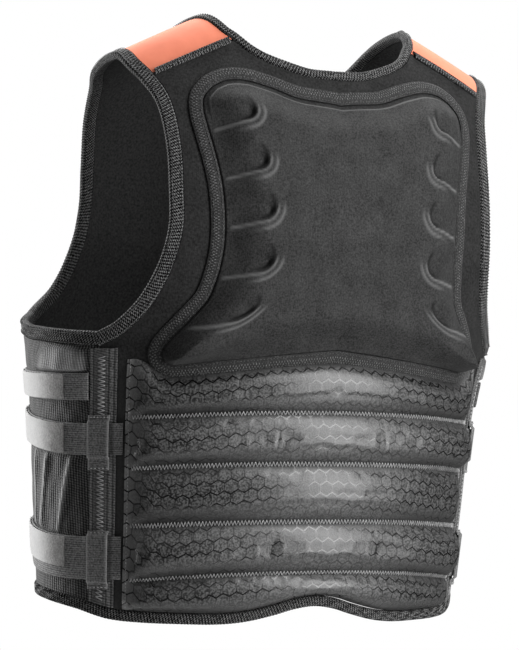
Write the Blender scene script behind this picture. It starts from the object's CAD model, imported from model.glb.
# %% [markdown]
# # A padded impact vest, dressed piece by piece
# The solids give every piece its place and size. This lesson lays a finer cloth surface over each of
# them: moulded foam, quilted rolls, ribbed bindings, knitted sides, straps and thread. Each surface is
# a function of two parameters on the vest's own torso form, so neighbours meet without any fitting.

# %% Load the frame
import math

import bpy
import numpy as np
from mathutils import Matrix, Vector


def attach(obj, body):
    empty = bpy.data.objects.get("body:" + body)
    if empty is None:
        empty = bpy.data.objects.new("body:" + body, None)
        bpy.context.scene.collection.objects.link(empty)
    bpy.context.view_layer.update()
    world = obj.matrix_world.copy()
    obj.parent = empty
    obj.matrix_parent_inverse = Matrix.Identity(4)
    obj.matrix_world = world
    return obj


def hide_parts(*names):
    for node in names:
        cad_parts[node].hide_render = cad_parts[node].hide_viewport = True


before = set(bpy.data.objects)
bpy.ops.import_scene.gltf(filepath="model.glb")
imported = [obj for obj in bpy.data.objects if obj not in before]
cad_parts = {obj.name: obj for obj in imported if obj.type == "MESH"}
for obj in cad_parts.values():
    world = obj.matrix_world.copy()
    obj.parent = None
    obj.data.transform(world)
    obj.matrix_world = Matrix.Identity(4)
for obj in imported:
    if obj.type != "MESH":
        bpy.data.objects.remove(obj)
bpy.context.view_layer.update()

scene = bpy.context.scene
MM = 0.001
print("frame:", len(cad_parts), "nodes")

# %% [markdown]
# ## The torso form
# A worn vest follows the body, so one surface carries all its cloth. Its two parameters are an angle
# round the body, 0 at the centre of the back, and a rise, 0 at the chest. Below the chest the rise is
# a height; above it, it is a length along an arch that ends on the shoulder line. A table of sections
# is enough for that, because cubic curves fill in what lies between the rows. All sizes are millimetres.

# %% Torso sections
SECTION_COLUMNS = ["z", "half_width", "back_y", "side_y", "front_y", "back_square", "front_square"]
SECTIONS = [
    [-538, 201, 19, -97, -197, 1.95, 2.1],
    [-438, 208, 37, -88, -206, 1.98, 2.1],
    [-328, 216, 52, -80, -206, 2.1, 2.1],
    [-253, 227, 66, -76, -192, 2.5, 2.1],
    [-178, 230, 76, -72, -172, 3.1, 2.1],
]
CHEST_Z = -178
ARCH_LENGTH = 127
RIDGE_RISE = ARCH_LENGTH * math.pi / 2
RIDGE_PEAK_Z, RIDGE_SLOPE, RIDGE_ROUNDING = 61, 0.5, 60


def read_table(rows, at, column=1, flat_start=False, flat_end=False):
    """Cubic curve through table rows: each slope is the line between a row's two neighbours."""
    rows, at = np.asarray(rows, float), np.asarray(at, float)
    x, y = rows[:, 0], rows[:, column]
    k = np.arange(len(x))
    low, high = np.maximum(k - 1, 0), np.minimum(k + 1, len(x) - 1)
    slope = (y[high] - y[low]) / (x[high] - x[low])
    slope[0] *= not flat_start
    slope[-1] *= not flat_end
    k = np.clip(np.searchsorted(x, at) - 1, 0, len(x) - 2)
    span = x[k + 1] - x[k]
    s = (at - x[k]) / span
    start = (1 + 2 * s) * (1 - s) ** 2 * y[k] + s * (1 - s) ** 2 * span * slope[k]
    return start + s * s * (3 - 2 * s) * y[k + 1] + s * s * (s - 1) * span * slope[k + 1]


def section(column, z):
    """One column of the section table at a height."""
    return read_table(SECTIONS, z, SECTION_COLUMNS.index(column), flat_end=True)


def torso(angle, rise):
    """Point of the torso: half width times the sine of the angle; a superellipse gives the depth; above
    the chest the depth shrinks with the arch's cosine and the height grows with its sine."""
    angle, rise = np.broadcast_arrays(np.asarray(angle, float), np.asarray(rise, float))
    z = CHEST_Z + np.minimum(rise, 0)
    sine = np.sin(np.radians(angle))
    back = np.abs(angle) <= 90
    square = np.where(back, section("back_square", z), section("front_square", z))
    depth = np.maximum(0, 1 - np.abs(sine) ** square) ** (1 / square)
    side = section("side_y", z)
    x = section("half_width", z) * sine
    y = side + (np.where(back, section("back_y", z), section("front_y", z)) - side) * depth
    arch = np.maximum(rise, 0) / ARCH_LENGTH
    ridge = RIDGE_PEAK_Z - RIDGE_SLOPE * np.hypot(x, RIDGE_ROUNDING)
    return np.stack([x, y * np.cos(arch), z + (ridge - CHEST_Z) * np.sin(arch)], -1)


def unit(vectors):
    """Vectors of length one."""
    return vectors / np.maximum(np.linalg.norm(vectors, axis=-1, keepdims=True), 1e-9)


def torso_normal(angle, rise):
    """Outward direction: the upward step crossed with the step round the body."""
    across = torso(angle + 0.05, rise) - torso(angle - 0.05, rise)
    up = torso(angle, np.minimum(rise + 0.2, RIDGE_RISE)) - torso(angle, rise - 0.2)
    return unit(np.cross(up, across))


def on_torso(angle, rise, out):
    """Point at a distance out from the torso; the distance is one for all points or one for each."""
    return torso(angle, rise) + torso_normal(angle, rise) * np.asarray(out, float)[..., None]


def spot(x, z, front=False):
    """Angle and rise of a place given by its distance from the centre line and its height."""
    x, z = np.asarray(x, float), np.asarray(z, float)
    angle = np.degrees(np.arcsin(np.clip(x / section("half_width", np.minimum(z, CHEST_Z)), -1, 1)))
    ridge = RIDGE_PEAK_Z - RIDGE_SLOPE * np.hypot(x, RIDGE_ROUNDING)
    arch = np.arcsin(np.clip((z - CHEST_Z) / (ridge - CHEST_Z), 0, 1))
    rise = np.where(z > CHEST_Z, ARCH_LENGTH * arch, z - CHEST_Z)
    return np.stack([180 - angle if front else angle, rise], -1)


def ridge_spot(x, front=False):
    """Angle and rise of a place on the shoulder line."""
    return spot(x, RIDGE_PEAK_Z - RIDGE_SLOPE * math.hypot(x, RIDGE_ROUNDING), front)


def table_spots(rows, front=False):
    """Spots of a table with distance and height columns."""
    return spot(*np.array(rows, float).T, front)


def spline(controls, steps):
    """Smooth curve through points: on each span a cubic whose end slopes are half its neighbours' step."""
    p = np.asarray(controls, float)
    around = np.concatenate([p[:1], p, p[-1:]])
    slope = 0.5 * (around[2:] - around[:-2])
    t = np.linspace(0, 1, steps, endpoint=False)[None, :, None]
    a, b, m, n = p[:-1, None], p[1:, None], slope[:-1, None], slope[1:, None]
    curve = (2 * a - 2 * b + m + n) * t**3 + (3 * b - 3 * a - 2 * m - n) * t**2 + m * t + a
    return np.concatenate([curve.reshape(-1, p.shape[1]), p[-1:]])


def smooth(value, low, high):
    """0 below low, 1 above high, an even S between them."""
    t = np.clip((value - low) / (high - low), 0, 1)
    return t * t * (3 - 2 * t)


def mix(low, high, share):
    """Blend of two values."""
    return low + (high - low) * share


print("torso: chest half width", section("half_width", CHEST_Z), "mm")

# %% [markdown]
# ## The edges of the pattern pieces
# A tailor draws the hem, the armholes and the neck first, since every panel ends on one of them. The
# tables hold only the turning points of each edge and the spline rounds the way between them.

# %% Edge tables
HEM = [
    [0, -501.5], [6, -504], [12, -509.5], [19, -514.5], [26, -516.5], [36, -516], [48, -514.5],
    [58, -511.5], [70, -503], [83, -497], [97, -492], [115, -487], [140, -484.5], [180, -484],
]
SHOULDER_TIP_X, NECK_RIDGE_X = 176, 109
ARMHOLE_BACK = [
    [173.5, -41], [165.5, -55], [155.5, -78], [151, -115], [150.5, -155], [151, -192], [157, -227],
    [168, -256], [183, -277.5], [196.5, -288],
]
ARMHOLE_FRONT = [
    [168.5, -39], [155, -51], [144, -79], [134, -117], [131.5, -161], [146.5, -208], [161, -233],
    [177, -248], [199, -264],
]
ARMHOLE_BOTTOM = [[62, -288], [76, -285], [90, -280], [104, -273], [118, -264]]
NECK_BACK = [[0, -54.5], [29, -53], [60, -44], [79, -34.5], [91.5, -22], [100, -12]]
NECK_FRONT = [[0, -82], [45, -74], [78, -55], [98, -38], [108.5, -21]]
SEAM_ANGLE = 62
EDGE_STEPS = 12
YOKE_ARM_SPANS, YOKE_NECK_BACK_SPANS, YOKE_NECK_FRONT_SPANS = 2, 2, 1
YOKE_SIDE_STEPS = YOKE_ARM_SPANS * EDGE_STEPS


def hem_height(angle):
    """Height of the hem at an angle round the body."""
    return read_table(HEM, np.abs(angle), flat_start=True, flat_end=True)


def armhole_edge(rows, front):
    """Armhole edge of one face, from the side seam up to the shoulder line."""
    controls = np.concatenate([[ridge_spot(SHOULDER_TIP_X, front)], table_spots(rows, front)])
    return spline(controls, EDGE_STEPS)[::-1]


def neck_edge(rows, front, steps):
    """Neck edge of one face, from its centre up to the shoulder line."""
    return spline(np.concatenate([table_spots(rows, front), [ridge_spot(NECK_RIDGE_X, front)]]), steps)


armhole_back = armhole_edge(ARMHOLE_BACK, False)
armhole_front = armhole_edge(ARMHOLE_FRONT, True)
neck_back = neck_edge(NECK_BACK, False, EDGE_STEPS)
neck_front = neck_edge(NECK_FRONT, True, YOKE_SIDE_STEPS // YOKE_NECK_FRONT_SPANS)
print("edges:", len(armhole_back), "spots on the armhole's back,", len(neck_front), "on the neck's front")

# %% [markdown]
# ## From grids to meshes
# Three shapes of mesh are enough for a sewn object. A wall is an outer and an inner sheet joined at
# the rim. A sweep is a closed profile carried round a closed path. Thread is one small capsule repeated
# for each stitch. Whole arrays go into the mesh at once, with a map that measures the cloth in metres.

# %% Mesh builders


def grid_faces(rows, columns, wrap_rows=False, wrap_columns=False):
    """Quads of a grid: their corner points, and the same corners counted without wrapping round."""
    j, i = np.meshgrid(np.arange(rows - (not wrap_rows)), np.arange(columns - (not wrap_columns)),
                       indexing="ij")
    corners = [(j, i), (j, i + 1), (j + 1, i + 1), (j + 1, i)]
    faces = np.stack([a % rows * columns + b % columns for a, b in corners], -1)
    flat = np.stack([a * (columns + 1) + b for a, b in corners], -1)
    return faces.reshape(-1, 4), flat.reshape(-1, 4)


def run_lengths(points, axis):
    """Length walked along one axis of a grid of points, from its start."""
    steps = np.linalg.norm(np.diff(points, axis=axis), axis=-1)
    start = np.zeros_like(np.take(steps, [0], axis=axis))
    return np.concatenate([start, np.cumsum(steps, axis=axis)], axis=axis)


def mesh_object(name, points, faces, cloth_map, finishes, second=None, sharp=50, shade=None):
    """Object from points in millimetres, quads and a map value for each quad's corner. The quads are
    turned round if the volume inside them is negative. Shade is 1 where cloth is worn light on a sharp
    lip, -1 deep in a crease and 0 elsewhere."""
    a, b, c, d = (points[faces[:, k]] for k in range(4))
    volume = np.einsum("ij,ij->", a, np.cross(b, c)) + np.einsum("ij,ij->", a, np.cross(c, d))
    if volume < 0:
        faces, cloth_map = faces[:, ::-1], cloth_map[:, ::-1]
    mesh = bpy.data.meshes.new(name)
    mesh.vertices.add(len(points))
    mesh.vertices.foreach_set("co", (points * MM).astype(np.float32).ravel())
    mesh.loops.add(faces.size)
    mesh.loops.foreach_set("vertex_index", faces.astype(np.int32).ravel())
    mesh.polygons.add(len(faces))
    mesh.polygons.foreach_set("loop_start", np.arange(0, faces.size, 4, dtype=np.int32))
    if second is not None:
        mesh.polygons.foreach_set("material_index", second.astype(np.int32))
    layer = mesh.uv_layers.new(name="cloth")
    layer.data.foreach_set("uv", (cloth_map * MM).astype(np.float32).ravel())
    if shade is not None:
        worn = mesh.attributes.new("shade", "FLOAT", "POINT")
        worn.data.foreach_set("value", shade.astype(np.float32).ravel())
    mesh.update(calc_edges=True)
    mesh.shade_smooth()
    mesh.set_sharp_from_angle(angle=math.radians(sharp))
    for finish in finishes:
        mesh.materials.append(finish.material)
    piece = bpy.data.objects.new(name, mesh)
    scene.collection.objects.link(piece)
    return piece


def wall(name, outer, inner, finishes, sharp=50, shade=None, base=None):
    """Closed wall: each row runs along the outer sheet and back along the inner one, and the first and
    last rows are capped. The map counts from the middle column and the first row, along the base grid if
    there is one, so that a pattern stays even over a padded surface."""
    rows, columns = outer.shape[:2]
    ring = 2 * columns
    points = np.concatenate([outer, inner[:, ::-1]], axis=1).reshape(-1, 3)
    body, _ = grid_faces(rows, ring, wrap_columns=True)
    i = np.arange(columns - 1)
    cap = np.stack([i + 1, i, ring - 1 - i, ring - 2 - i], -1)
    faces = np.concatenate([body, cap, cap[:, ::-1] + (rows - 1) * ring])
    base = outer if base is None else base
    across = run_lengths(base, 1)
    across -= across[:, [columns // 2]]
    sheet_map = np.stack([across, run_lengths(base, 0)], -1)
    ring_map = np.concatenate([sheet_map, sheet_map[:, ::-1]], axis=1).reshape(-1, 2)
    inside = np.concatenate([np.tile(np.arange(ring) >= columns - 1, rows - 1), np.ones(2 * len(cap), bool)])
    second = inside if len(finishes) > 1 else None
    if shade is not None:
        shade = np.concatenate([shade, np.zeros_like(shade)], axis=1)
    return mesh_object(name, points, faces, ring_map[faces], finishes, second, sharp, shade)


def sweep(name, profiles, finishes, sharp=60):
    """Closed tube: profiles with the same number of corners, joined round a closed path. The map counts
    along the path and round the profile."""
    count, corners = profiles.shape[:2]
    faces, flat = grid_faces(count, corners, True, True)
    closed = np.concatenate([profiles, profiles[:1]])
    closed = np.concatenate([closed, closed[:, :1]], axis=1)
    along = np.repeat(run_lengths(closed, 0).mean(1)[:, None], corners + 1, axis=1)
    around = np.repeat(run_lengths(closed, 1).mean(0)[None], count + 1, axis=0)
    sweep_map = np.stack([along, around], -1).reshape(-1, 2)
    return mesh_object(name, profiles.reshape(-1, 3), faces, sweep_map[flat], finishes, None, sharp)


def thread(name, starts, ends, normals, radius, finishes, arch=0.5):
    """Stitches from starts to ends: a four-sided capsule each, pinched at both ends and arched up along
    the normal by a share of its radius."""
    along = ends - starts
    side = unit(np.cross(normals, along)) * radius
    up = unit(normals) * radius
    share = np.array([0.0, 0.22, 0.78, 1.0])
    girth = np.array([0.35, 1.0, 1.0, 0.35])
    lift = np.array([-0.4, arch, arch, -0.4])
    turn = np.radians([45, 135, 225, 315])
    centre = starts[:, None] + along[:, None] * share[None, :, None] + up[:, None] * lift[None, :, None]
    ring = side[:, None] * np.cos(turn)[None, :, None] + up[:, None] * np.sin(turn)[None, :, None]
    points = centre[:, :, None] + ring[:, None] * girth[None, :, None, None]
    tube, _ = grid_faces(4, 4, wrap_columns=True)
    one = np.concatenate([tube, [[3, 2, 1, 0], [12, 13, 14, 15]]])
    faces = (np.arange(len(starts))[:, None, None] * 16 + one).reshape(-1, 4)
    stitch_map = np.zeros((len(faces), 4, 2))
    return mesh_object(name, points.reshape(-1, 3), faces, stitch_map, finishes, None, 80)


def mirrored(points):
    """The same points on the wearer's other side."""
    return points * np.array([-1.0, 1.0, 1.0])


SIDES = [("left", np.array), ("right", mirrored)]


def wear(piece, slot, *nodes):
    """Lets a piece ride on the vest, with its finish slot and the solids that it stands for."""
    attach(piece, "root")
    if nodes:
        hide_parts(*nodes)
    return piece


def as_sheet(points):
    """Declares a piece as cloth: its flat size is the grid's longest row by its longest column, and its
    area is that of the grid's quads, or the flat size's if that is smaller."""
    a, b, c, d = points[:-1, :-1], points[:-1, 1:], points[1:, 1:], points[1:, :-1]
    halves = np.linalg.norm(np.cross(c - a, d - b), axis=-1) / 2


print("builders: wall, sweep and thread")

# %% [markdown]
# ## Shader arithmetic
# Cloth finishes are mostly repeated waves and distances, which read best as formulas. A small class
# wraps a node socket so that plus, minus, times and divide add the Math nodes, and one method makes any
# other node. A finish holds one material and its main shader.

# %% Sockets and finishes


class Wire:
    """A value in a material's node tree; arithmetic on it adds Math nodes."""

    def __init__(self, finish, socket):
        self.finish, self.socket = finish, socket

    def math(self, operation, first, second=0.0):
        return self.finish.node("ShaderNodeMath", {"operation": operation}, {0: first, 1: second})

    def __add__(self, other):
        return self.math("ADD", self, other)

    def __sub__(self, other):
        return self.math("SUBTRACT", self, other)

    def __rsub__(self, other):
        return self.math("SUBTRACT", other, self)

    def __mul__(self, other):
        return self.math("MULTIPLY", self, other)

    def __truediv__(self, other):
        return self.math("DIVIDE", self, other)

    def __mod__(self, other):
        return self.math("FLOORED_MODULO", self, other)

    def __abs__(self):
        return self.math("ABSOLUTE", self)

    def __lt__(self, other):
        return self.math("LESS_THAN", self, other)

    def sine(self):
        return self.math("SINE", self)

    def largest(self, other):
        return self.math("MAXIMUM", self, other)

    def smooth(self, low, high):
        """0 at low, 1 at high, an even S between them."""
        settings = {"interpolation_type": "SMOOTHSTEP"}
        inputs = {"Value": self, "From Min": low, "From Max": high}
        return self.finish.node("ShaderNodeMapRange", settings, inputs)

    __radd__, __rmul__ = __add__, __mul__


class Finish:
    """One material: a main shader with constant sockets, and formulas that feed the others."""

    def __init__(self, name, roughness, specular=0.2, sheen=0.0, sheen_roughness=0.4):
        self.material = bpy.data.materials.new(name)
        self.material.use_nodes = True
        self.tree = self.material.node_tree
        self.shader = self.tree.nodes["Principled BSDF"]
        constants = {"Roughness": roughness, "Specular IOR Level": specular, "Sheen Weight": sheen,
                     "Sheen Roughness": sheen_roughness}
        for key, value in constants.items():
            self.shader.inputs[key].default_value = value

    def node(self, kind, settings=None, inputs=None, output=0):
        """Any node: its settings first, then the values or wires of its sockets; gives one output."""
        made = self.tree.nodes.new(kind)
        for key, value in (settings or {}).items():
            setattr(made, key, value)
        for key, value in (inputs or {}).items():
            self.plug(made.inputs[key], value)
        return Wire(self, made.outputs[output])

    def plug(self, socket, value):
        if isinstance(value, Wire):
            self.tree.links.new(value.socket, socket)
        else:
            socket.default_value = value

    def feed(self, **values):
        """Feeds the main shader; an underscore in a name stands for a blank."""
        for key, value in values.items():
            self.plug(self.shader.inputs[key.replace("_", " ")], value)

    def inlay(self, share, **constants):
        """Blends in a second shader with its own constants by a share."""
        second = self.tree.nodes.new(self.shader.bl_idname)
        either = self.tree.nodes.new("ShaderNodeMixShader")
        for key, value in constants.items():
            second.inputs[key.replace("_", " ")].default_value = value
        self.plug(either.inputs[0], share)
        self.tree.links.new(self.shader.outputs[0], either.inputs[1])
        self.tree.links.new(second.outputs[0], either.inputs[2])
        self.tree.links.new(either.outputs[0], self.tree.nodes["Material Output"].inputs["Surface"])

    def cloth(self):
        """Both coordinates of the cloth map, in millimetres."""
        place = self.node("ShaderNodeUVMap", {"uv_map": "cloth"})
        u = self.node("ShaderNodeSeparateXYZ", None, {0: place}, 0)
        v = self.node("ShaderNodeSeparateXYZ", None, {0: place}, 1)
        return u * (1 / MM), v * (1 / MM)

    def noise(self, size, detail=2.0):
        """Noise about 0 with a grain of a size in millimetres, in object space."""
        place = self.node("ShaderNodeTexCoord", None, None, 3)
        grain = {"Vector": place, "Scale": 1 / (size * MM), "Detail": detail}
        return self.node("ShaderNodeTexNoise", None, grain) - 0.5

    def tint(self, dark, light, share):
        """Blend of two colours."""
        return self.node("ShaderNodeMix", {"data_type": "RGBA"}, {0: share, 6: dark, 7: light}, 2)

    def shade(self):
        """The mesh's shade: above 0 on lips, below 0 in creases."""
        return self.node("ShaderNodeAttribute", {"attribute_name": "shade"}, None, 2)

    def worn(self, colour, light, dark):
        """Colour made lighter on lips and darker in creases, as the mesh's shade says."""
        shade = self.shade()
        return self.tint(self.tint(colour, light, shade.largest(0.0)), dark, (0.0 - shade).largest(0.0))

    def relief(self, height):
        """Bump from a height in millimetres."""
        self.feed(Normal=self.node("ShaderNodeBump", None, {"Height": height * MM, "Distance": 1.0}))


def grey(level, warm=0.0):
    """Neutral colour of a lightness from 0 to 255, in linear light; warm shifts red up and blue down."""
    value = (level / 255) ** 2.2
    return value * (1 + warm), value, value * (1 - warm), 1.0


print("finishes are ready to be written as formulas")

# %% [markdown]
# ## Plain cloths
# The vest's black is several blacks: jersey over foam, a smoother moulded jersey, a dull lining, woven
# bindings and thread. Each gets its own lightness, a mottle that breaks the flat colour up, and grain.

# %% Jersey, lining, binding and thread


def jersey(name, level, roughness, sheen, grain, grain_height):
    """Fine jersey: mottled colour, and relief of a small noise with fine ribs along the cloth."""
    finish = Finish(name, roughness, 0.22, sheen)
    u, _ = finish.cloth()
    speckle = finish.noise(grain)
    mottle = finish.noise(22, 3.0)
    cloth = finish.tint(grey(level * 0.5), grey(level * 1.42), mottle * 0.7 + speckle * 1.8 + 0.5)
    finish.feed(Base_Color=finish.worn(cloth, grey(level * 2.6), grey(6)))
    ribs = (u * (2 * math.pi / 1.7)).sine()
    finish.relief(speckle * grain_height + ribs * 0.018)
    return finish


def lining_finish():
    """Dull lining: nearly black with a faint even weave."""
    finish = Finish("lining", 0.9, 0.1)
    weave = finish.noise(2.0)
    finish.feed(Base_Color=finish.tint(grey(36), grey(72), weave * 1.6 + 0.5))
    finish.relief(weave * 0.05)
    return finish


def binding_finish():
    """Overlocked binding: slanted loops in rows along the edge, light on their crowns."""
    finish = Finish("binding", 0.85, 0.1, 0.04)
    u, v = finish.cloth()
    loops = ((u + v * 0.55) * (2 * math.pi / 2.9)).sine() * (v * (2 * math.pi / 3.6)).sine()
    fuzz = finish.noise(1.3)
    crown = (loops * 0.6 + fuzz * 1.8).smooth(-0.25, 0.7)
    finish.feed(Base_Color=finish.tint(grey(8), grey(130), crown))
    finish.relief(loops * 0.2 + fuzz * 0.3)
    return finish


def thread_finish(name, level):
    """Thread: even colour with a slight variation from stitch to stitch."""
    finish = Finish(name, 0.6, 0.35, 0.1)
    variation = finish.noise(5.0) * 1.6 + 0.5
    finish.feed(Base_Color=finish.tint(grey(level * 0.75), grey(level * 1.25), variation))
    return finish


def border_finish():
    """Border cloth: rows of small dots along the strip, on fine jersey."""
    finish = Finish("border_cloth", 0.72, 0.22, 0.1)
    u, v = finish.cloth()
    dots = (u * (2 * math.pi / 2.6)).sine() * (v * (2 * math.pi / 4.4)).sine()
    rows = v.smooth(3.5, 5.0) * (1.0 - v.smooth(10.0, 11.5))
    fuzz = finish.noise(1.5)
    crown = (dots * rows * 0.5 + fuzz * 1.4).smooth(-0.1, 1.0)
    finish.feed(Base_Color=finish.tint(grey(44), grey(126), crown))
    finish.relief(dots * rows * 0.12 + fuzz * 0.15)
    return finish


panel_jersey = jersey("panel_jersey", 36, 0.8, 0.04, 1.9, 0.14)
pad_jersey = jersey("pad_jersey", 47, 0.74, 0.04, 1.6, 0.08)
border_jersey = border_finish()
lining = lining_finish()
binding_weave = binding_finish()
dark_thread = thread_finish("dark_thread", 74)
light_thread = thread_finish("light_thread", 150)
print("plain cloths:", panel_jersey.material.name, pad_jersey.material.name, lining.material.name)

# %% [markdown]
# ## Patterned cloths
# The lower pad has a honeycomb of satin cells parted by fine lines. A hexagon's distance can be had
# from two shifted lattices of box centres: the nearer centre of the two decides the cell. The knitted
# sides are ribs crossed by short courses, the webbing is fine cross ribs, and the pile is plain fuzz.

# %% Honeycomb, knit, webbing, pile and coral
HEX_PITCH = 11.4
HEX_LINE = 0.07


def honeycomb_finish():
    """Honeycomb: satin cells parted by lines of a darker, glossier cloth; upright lines are fainter, and
    creases are darker and duller."""
    finish = Finish("honeycomb", 0.42, 0.9)
    u, v = finish.cloth()
    x, y, tall = u / HEX_PITCH, v / HEX_PITCH, math.sqrt(3)
    ax, ay = x % 1.0 - 0.5, y % tall - tall / 2
    bx, by = (x - 0.5) % 1.0 - 0.5, (y - tall / 2) % tall - tall / 2
    nearer = (ax * ax + ay * ay) < (bx * bx + by * by)
    cx, cy = abs(bx + (ax - bx) * nearer), abs(by + (ay - by) * nearer)
    slanted = 1.0 - (0.5 - (cx * 0.5 + cy * (tall / 2))).smooth(HEX_LINE * 0.5, HEX_LINE)
    upright = 1.0 - (0.5 - cx).smooth(HEX_LINE * 0.4, HEX_LINE * 0.8)
    line = slanted.largest(upright * 0.6)
    grain = finish.noise(1.5, 0.0)
    cells = finish.tint(grey(3), grey(78), grain * 4.2 + 0.5)
    crease = (0.0 - finish.shade()).largest(0.0)
    finish.feed(Base_Color=finish.worn(cells, grey(130), grey(4)))
    finish.feed(Roughness=0.43 + grain * 0.3 + crease * 0.42)
    finish.relief(grain * 0.09)
    finish.inlay(line * (1.0 - crease * 0.6), Base_Color=grey(4), Roughness=0.27, Specular_IOR_Level=0.85)
    return finish


def knit_finish():
    """Ribbed knit: upright ribs with short courses across them, dark in the furrows."""
    finish = Finish("knit", 0.7, 0.25, 0.15)
    u, v = finish.cloth()
    rib = (u * (2 * math.pi / 2.7)).sine()
    course = (v * (2 * math.pi / 2.2)).sine()
    fuzz = finish.noise(1.6)
    crown = (rib * 0.5 + course * 0.35 + fuzz * 1.5).smooth(-0.5, 1.0)
    finish.feed(Base_Color=finish.worn(finish.tint(grey(6), grey(100), crown), grey(190), grey(6)))
    finish.relief(rib * 0.16 + course * 0.10 + fuzz * 0.2)
    return finish


def webbing_finish(name, level, pitch):
    """Woven webbing: fine ribs across the strip."""
    finish = Finish(name, 0.72, 0.25, 0.1)
    _, v = finish.cloth()
    rib = (v * (2 * math.pi / pitch)).sine()
    grain = finish.noise(1.6)
    cloth = finish.tint(grey(level * 0.55), grey(level * 1.45), rib * 0.25 + grain * 1.8 + 0.5)
    finish.feed(Base_Color=finish.worn(cloth, grey(level * 2.0), grey(level * 0.3)))
    finish.relief(rib * 0.06 + grain * 0.15)
    return finish


def pile_finish():
    """Loop pile: light fuzz with darker pits."""
    finish = Finish("pile", 0.95, 0.1, 0.6, 0.6)
    fuzz, wide = finish.noise(1.5, 3.0), finish.noise(9.0)
    loops = finish.tint(grey(62, 0.02), grey(150, 0.02), fuzz * 1.8 + wide * 0.9 + 0.5)
    finish.feed(Base_Color=finish.worn(loops, grey(225), grey(50)))
    finish.relief(fuzz * 0.45)
    return finish


def coral_finish():
    """Coral cloth: an even bright colour with a faint weave."""
    finish = Finish("coral_cloth", 0.75, 0.15, 0.1)
    u, v = finish.cloth()
    weave = (u * (2 * math.pi / 1.4)).sine() * (v * (2 * math.pi / 1.4)).sine()
    wide = finish.noise(18)
    share = wide * 1.2 + weave * 0.15 + 0.5
    finish.feed(Base_Color=finish.tint((0.72, 0.20, 0.115, 1.0), (0.86, 0.26, 0.155, 1.0), share))
    finish.relief(weave * 0.03)
    return finish


honeycomb_cloth = honeycomb_finish()
rib_knit = knit_finish()
elastic = webbing_finish("elastic", 104, 1.9)
keeper_webbing = webbing_finish("keeper_webbing", 92, 1.5)
tape_cloth = webbing_finish("tape_cloth", 90, 2.3)
pile = pile_finish()
coral = coral_finish()
print("patterned cloths:", honeycomb_cloth.material.name, rib_knit.material.name, coral.material.name)

# %% [markdown]
# ## Front and back panels
# Both are a few millimetres of foam between jersey and lining. A pattern piece of this kind is a grid
# whose rows follow the side seam and the armhole, while its first and last rows bend to the hem and the
# neck. Box modelling would do too, but a grid keeps the cloth map straight along the weave.

# %% Panels
PANEL_THICKNESS = 4
SEAM_ROWS = 46
PANEL_COLUMNS = 97


def from_centre(spots):
    """Spots with their angle counted from the centre of their own face."""
    return np.stack([np.where(spots[:, 0] > 90, 180 - spots[:, 0], spots[:, 0]), spots[:, 1]], -1)


def edge_rise(path):
    """Function that reads the rise of an edge at an angle from the centre of its face."""
    path = from_centre(path)
    return lambda angle: np.interp(angle, path[:, 0], path[:, 1])


def panel_spots(side, shares, bottom_rise, top_rise):
    """Grid of spots inside an outline that is alike left and right: rows start on the side edge and bend
    to the bottom and top edges with the cube of the way there."""
    first, last = side[0], side[-1]
    b = ((side[:, 1] - first[1]) / (last[1] - first[1]))[:, None]
    a = np.abs(shares)[None]
    bottom = bottom_rise(a * first[0]) - bottom_rise(first[0])
    top = top_rise(a * last[0]) - top_rise(last[0])
    upright = b**4 * (1 - smooth(a, 0.75, 1))
    angle = shares[None] * mix(side[:, :1], last[0], upright)
    rise = side[:, 1:] + (1 - b) ** 3 * bottom + b**3 * top
    return angle, rise


def panel_grid(front, armhole, neck, neck_spans, steps):
    """Spots of a front or back panel up to its yoke."""
    def hem(angle):
        return hem_height(180 - angle if front else angle) - CHEST_Z

    arm = from_centre(armhole[: len(armhole) - YOKE_SIDE_STEPS])
    arm[0, 0] = min(arm[0, 0], SEAM_ANGLE)
    up = np.linspace(0, 1, SEAM_ROWS, endpoint=False)
    seam = np.stack([np.full(SEAM_ROWS, SEAM_ANGLE), mix(hem(SEAM_ANGLE), arm[0, 1], up)], -1)
    neck = from_centre(neck[: len(neck) - neck_spans * steps])
    top = edge_rise(np.concatenate([neck, arm[-1:]]))
    shares = np.linspace(-1, 1, PANEL_COLUMNS)
    angle, rise = panel_spots(np.concatenate([seam, arm]), shares, hem, top)
    return (180 - angle if front else angle), rise


def panel(name, grid, node, shade=None):
    """Panel wall: jersey outside, lining inside."""
    outer = on_torso(*grid, 0)
    inner = on_torso(*grid, -PANEL_THICKNESS)
    piece = wear(wall(name, outer, inner, [panel_jersey, lining], 50, shade), "stretch_foam", node)
    as_sheet(outer)
    return piece


back_grid = panel_grid(False, armhole_back, neck_back, YOKE_NECK_BACK_SPANS, EDGE_STEPS)
front_grid = panel_grid(True, armhole_front, neck_front, YOKE_NECK_FRONT_SPANS, YOKE_SIDE_STEPS)
beside_tape = np.exp(-(((np.abs(back_grid[0]) - 55) / 1.6) ** 2)) * (1 - smooth(back_grid[1], -150, -110))
back_cloth = panel("back_cloth", back_grid, "back_panel", 0.3 * beside_tape)
front_cloth = panel("front_cloth", front_grid, "front_panel")
print("panels:", len(back_cloth.data.polygons), "and", len(front_cloth.data.polygons), "quads")

# %% [markdown]
# ## Side straps: their lines
# The straps come later, but the knit beneath them has to know where they press it flat.

# %% Strap lines
STRAP_COLUMNS = ["top_front", "top_back", "band_height", "tab_height", "back_angle"]
STRAPS = {
    1: [-301, -310, 23, 21, 65.8],
    2: [-334, -353, 27, 25, 54.2],
    3: [-432, -450, 37, 26, 54.2],
}
STRAP_FRONT_ANGLE, TAPE_FROM, TAPE_TO = 112, 56.5, 65.2


def strap_size(strap, column):
    """One size of a strap."""
    return STRAPS[strap][STRAP_COLUMNS.index(column)]


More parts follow.
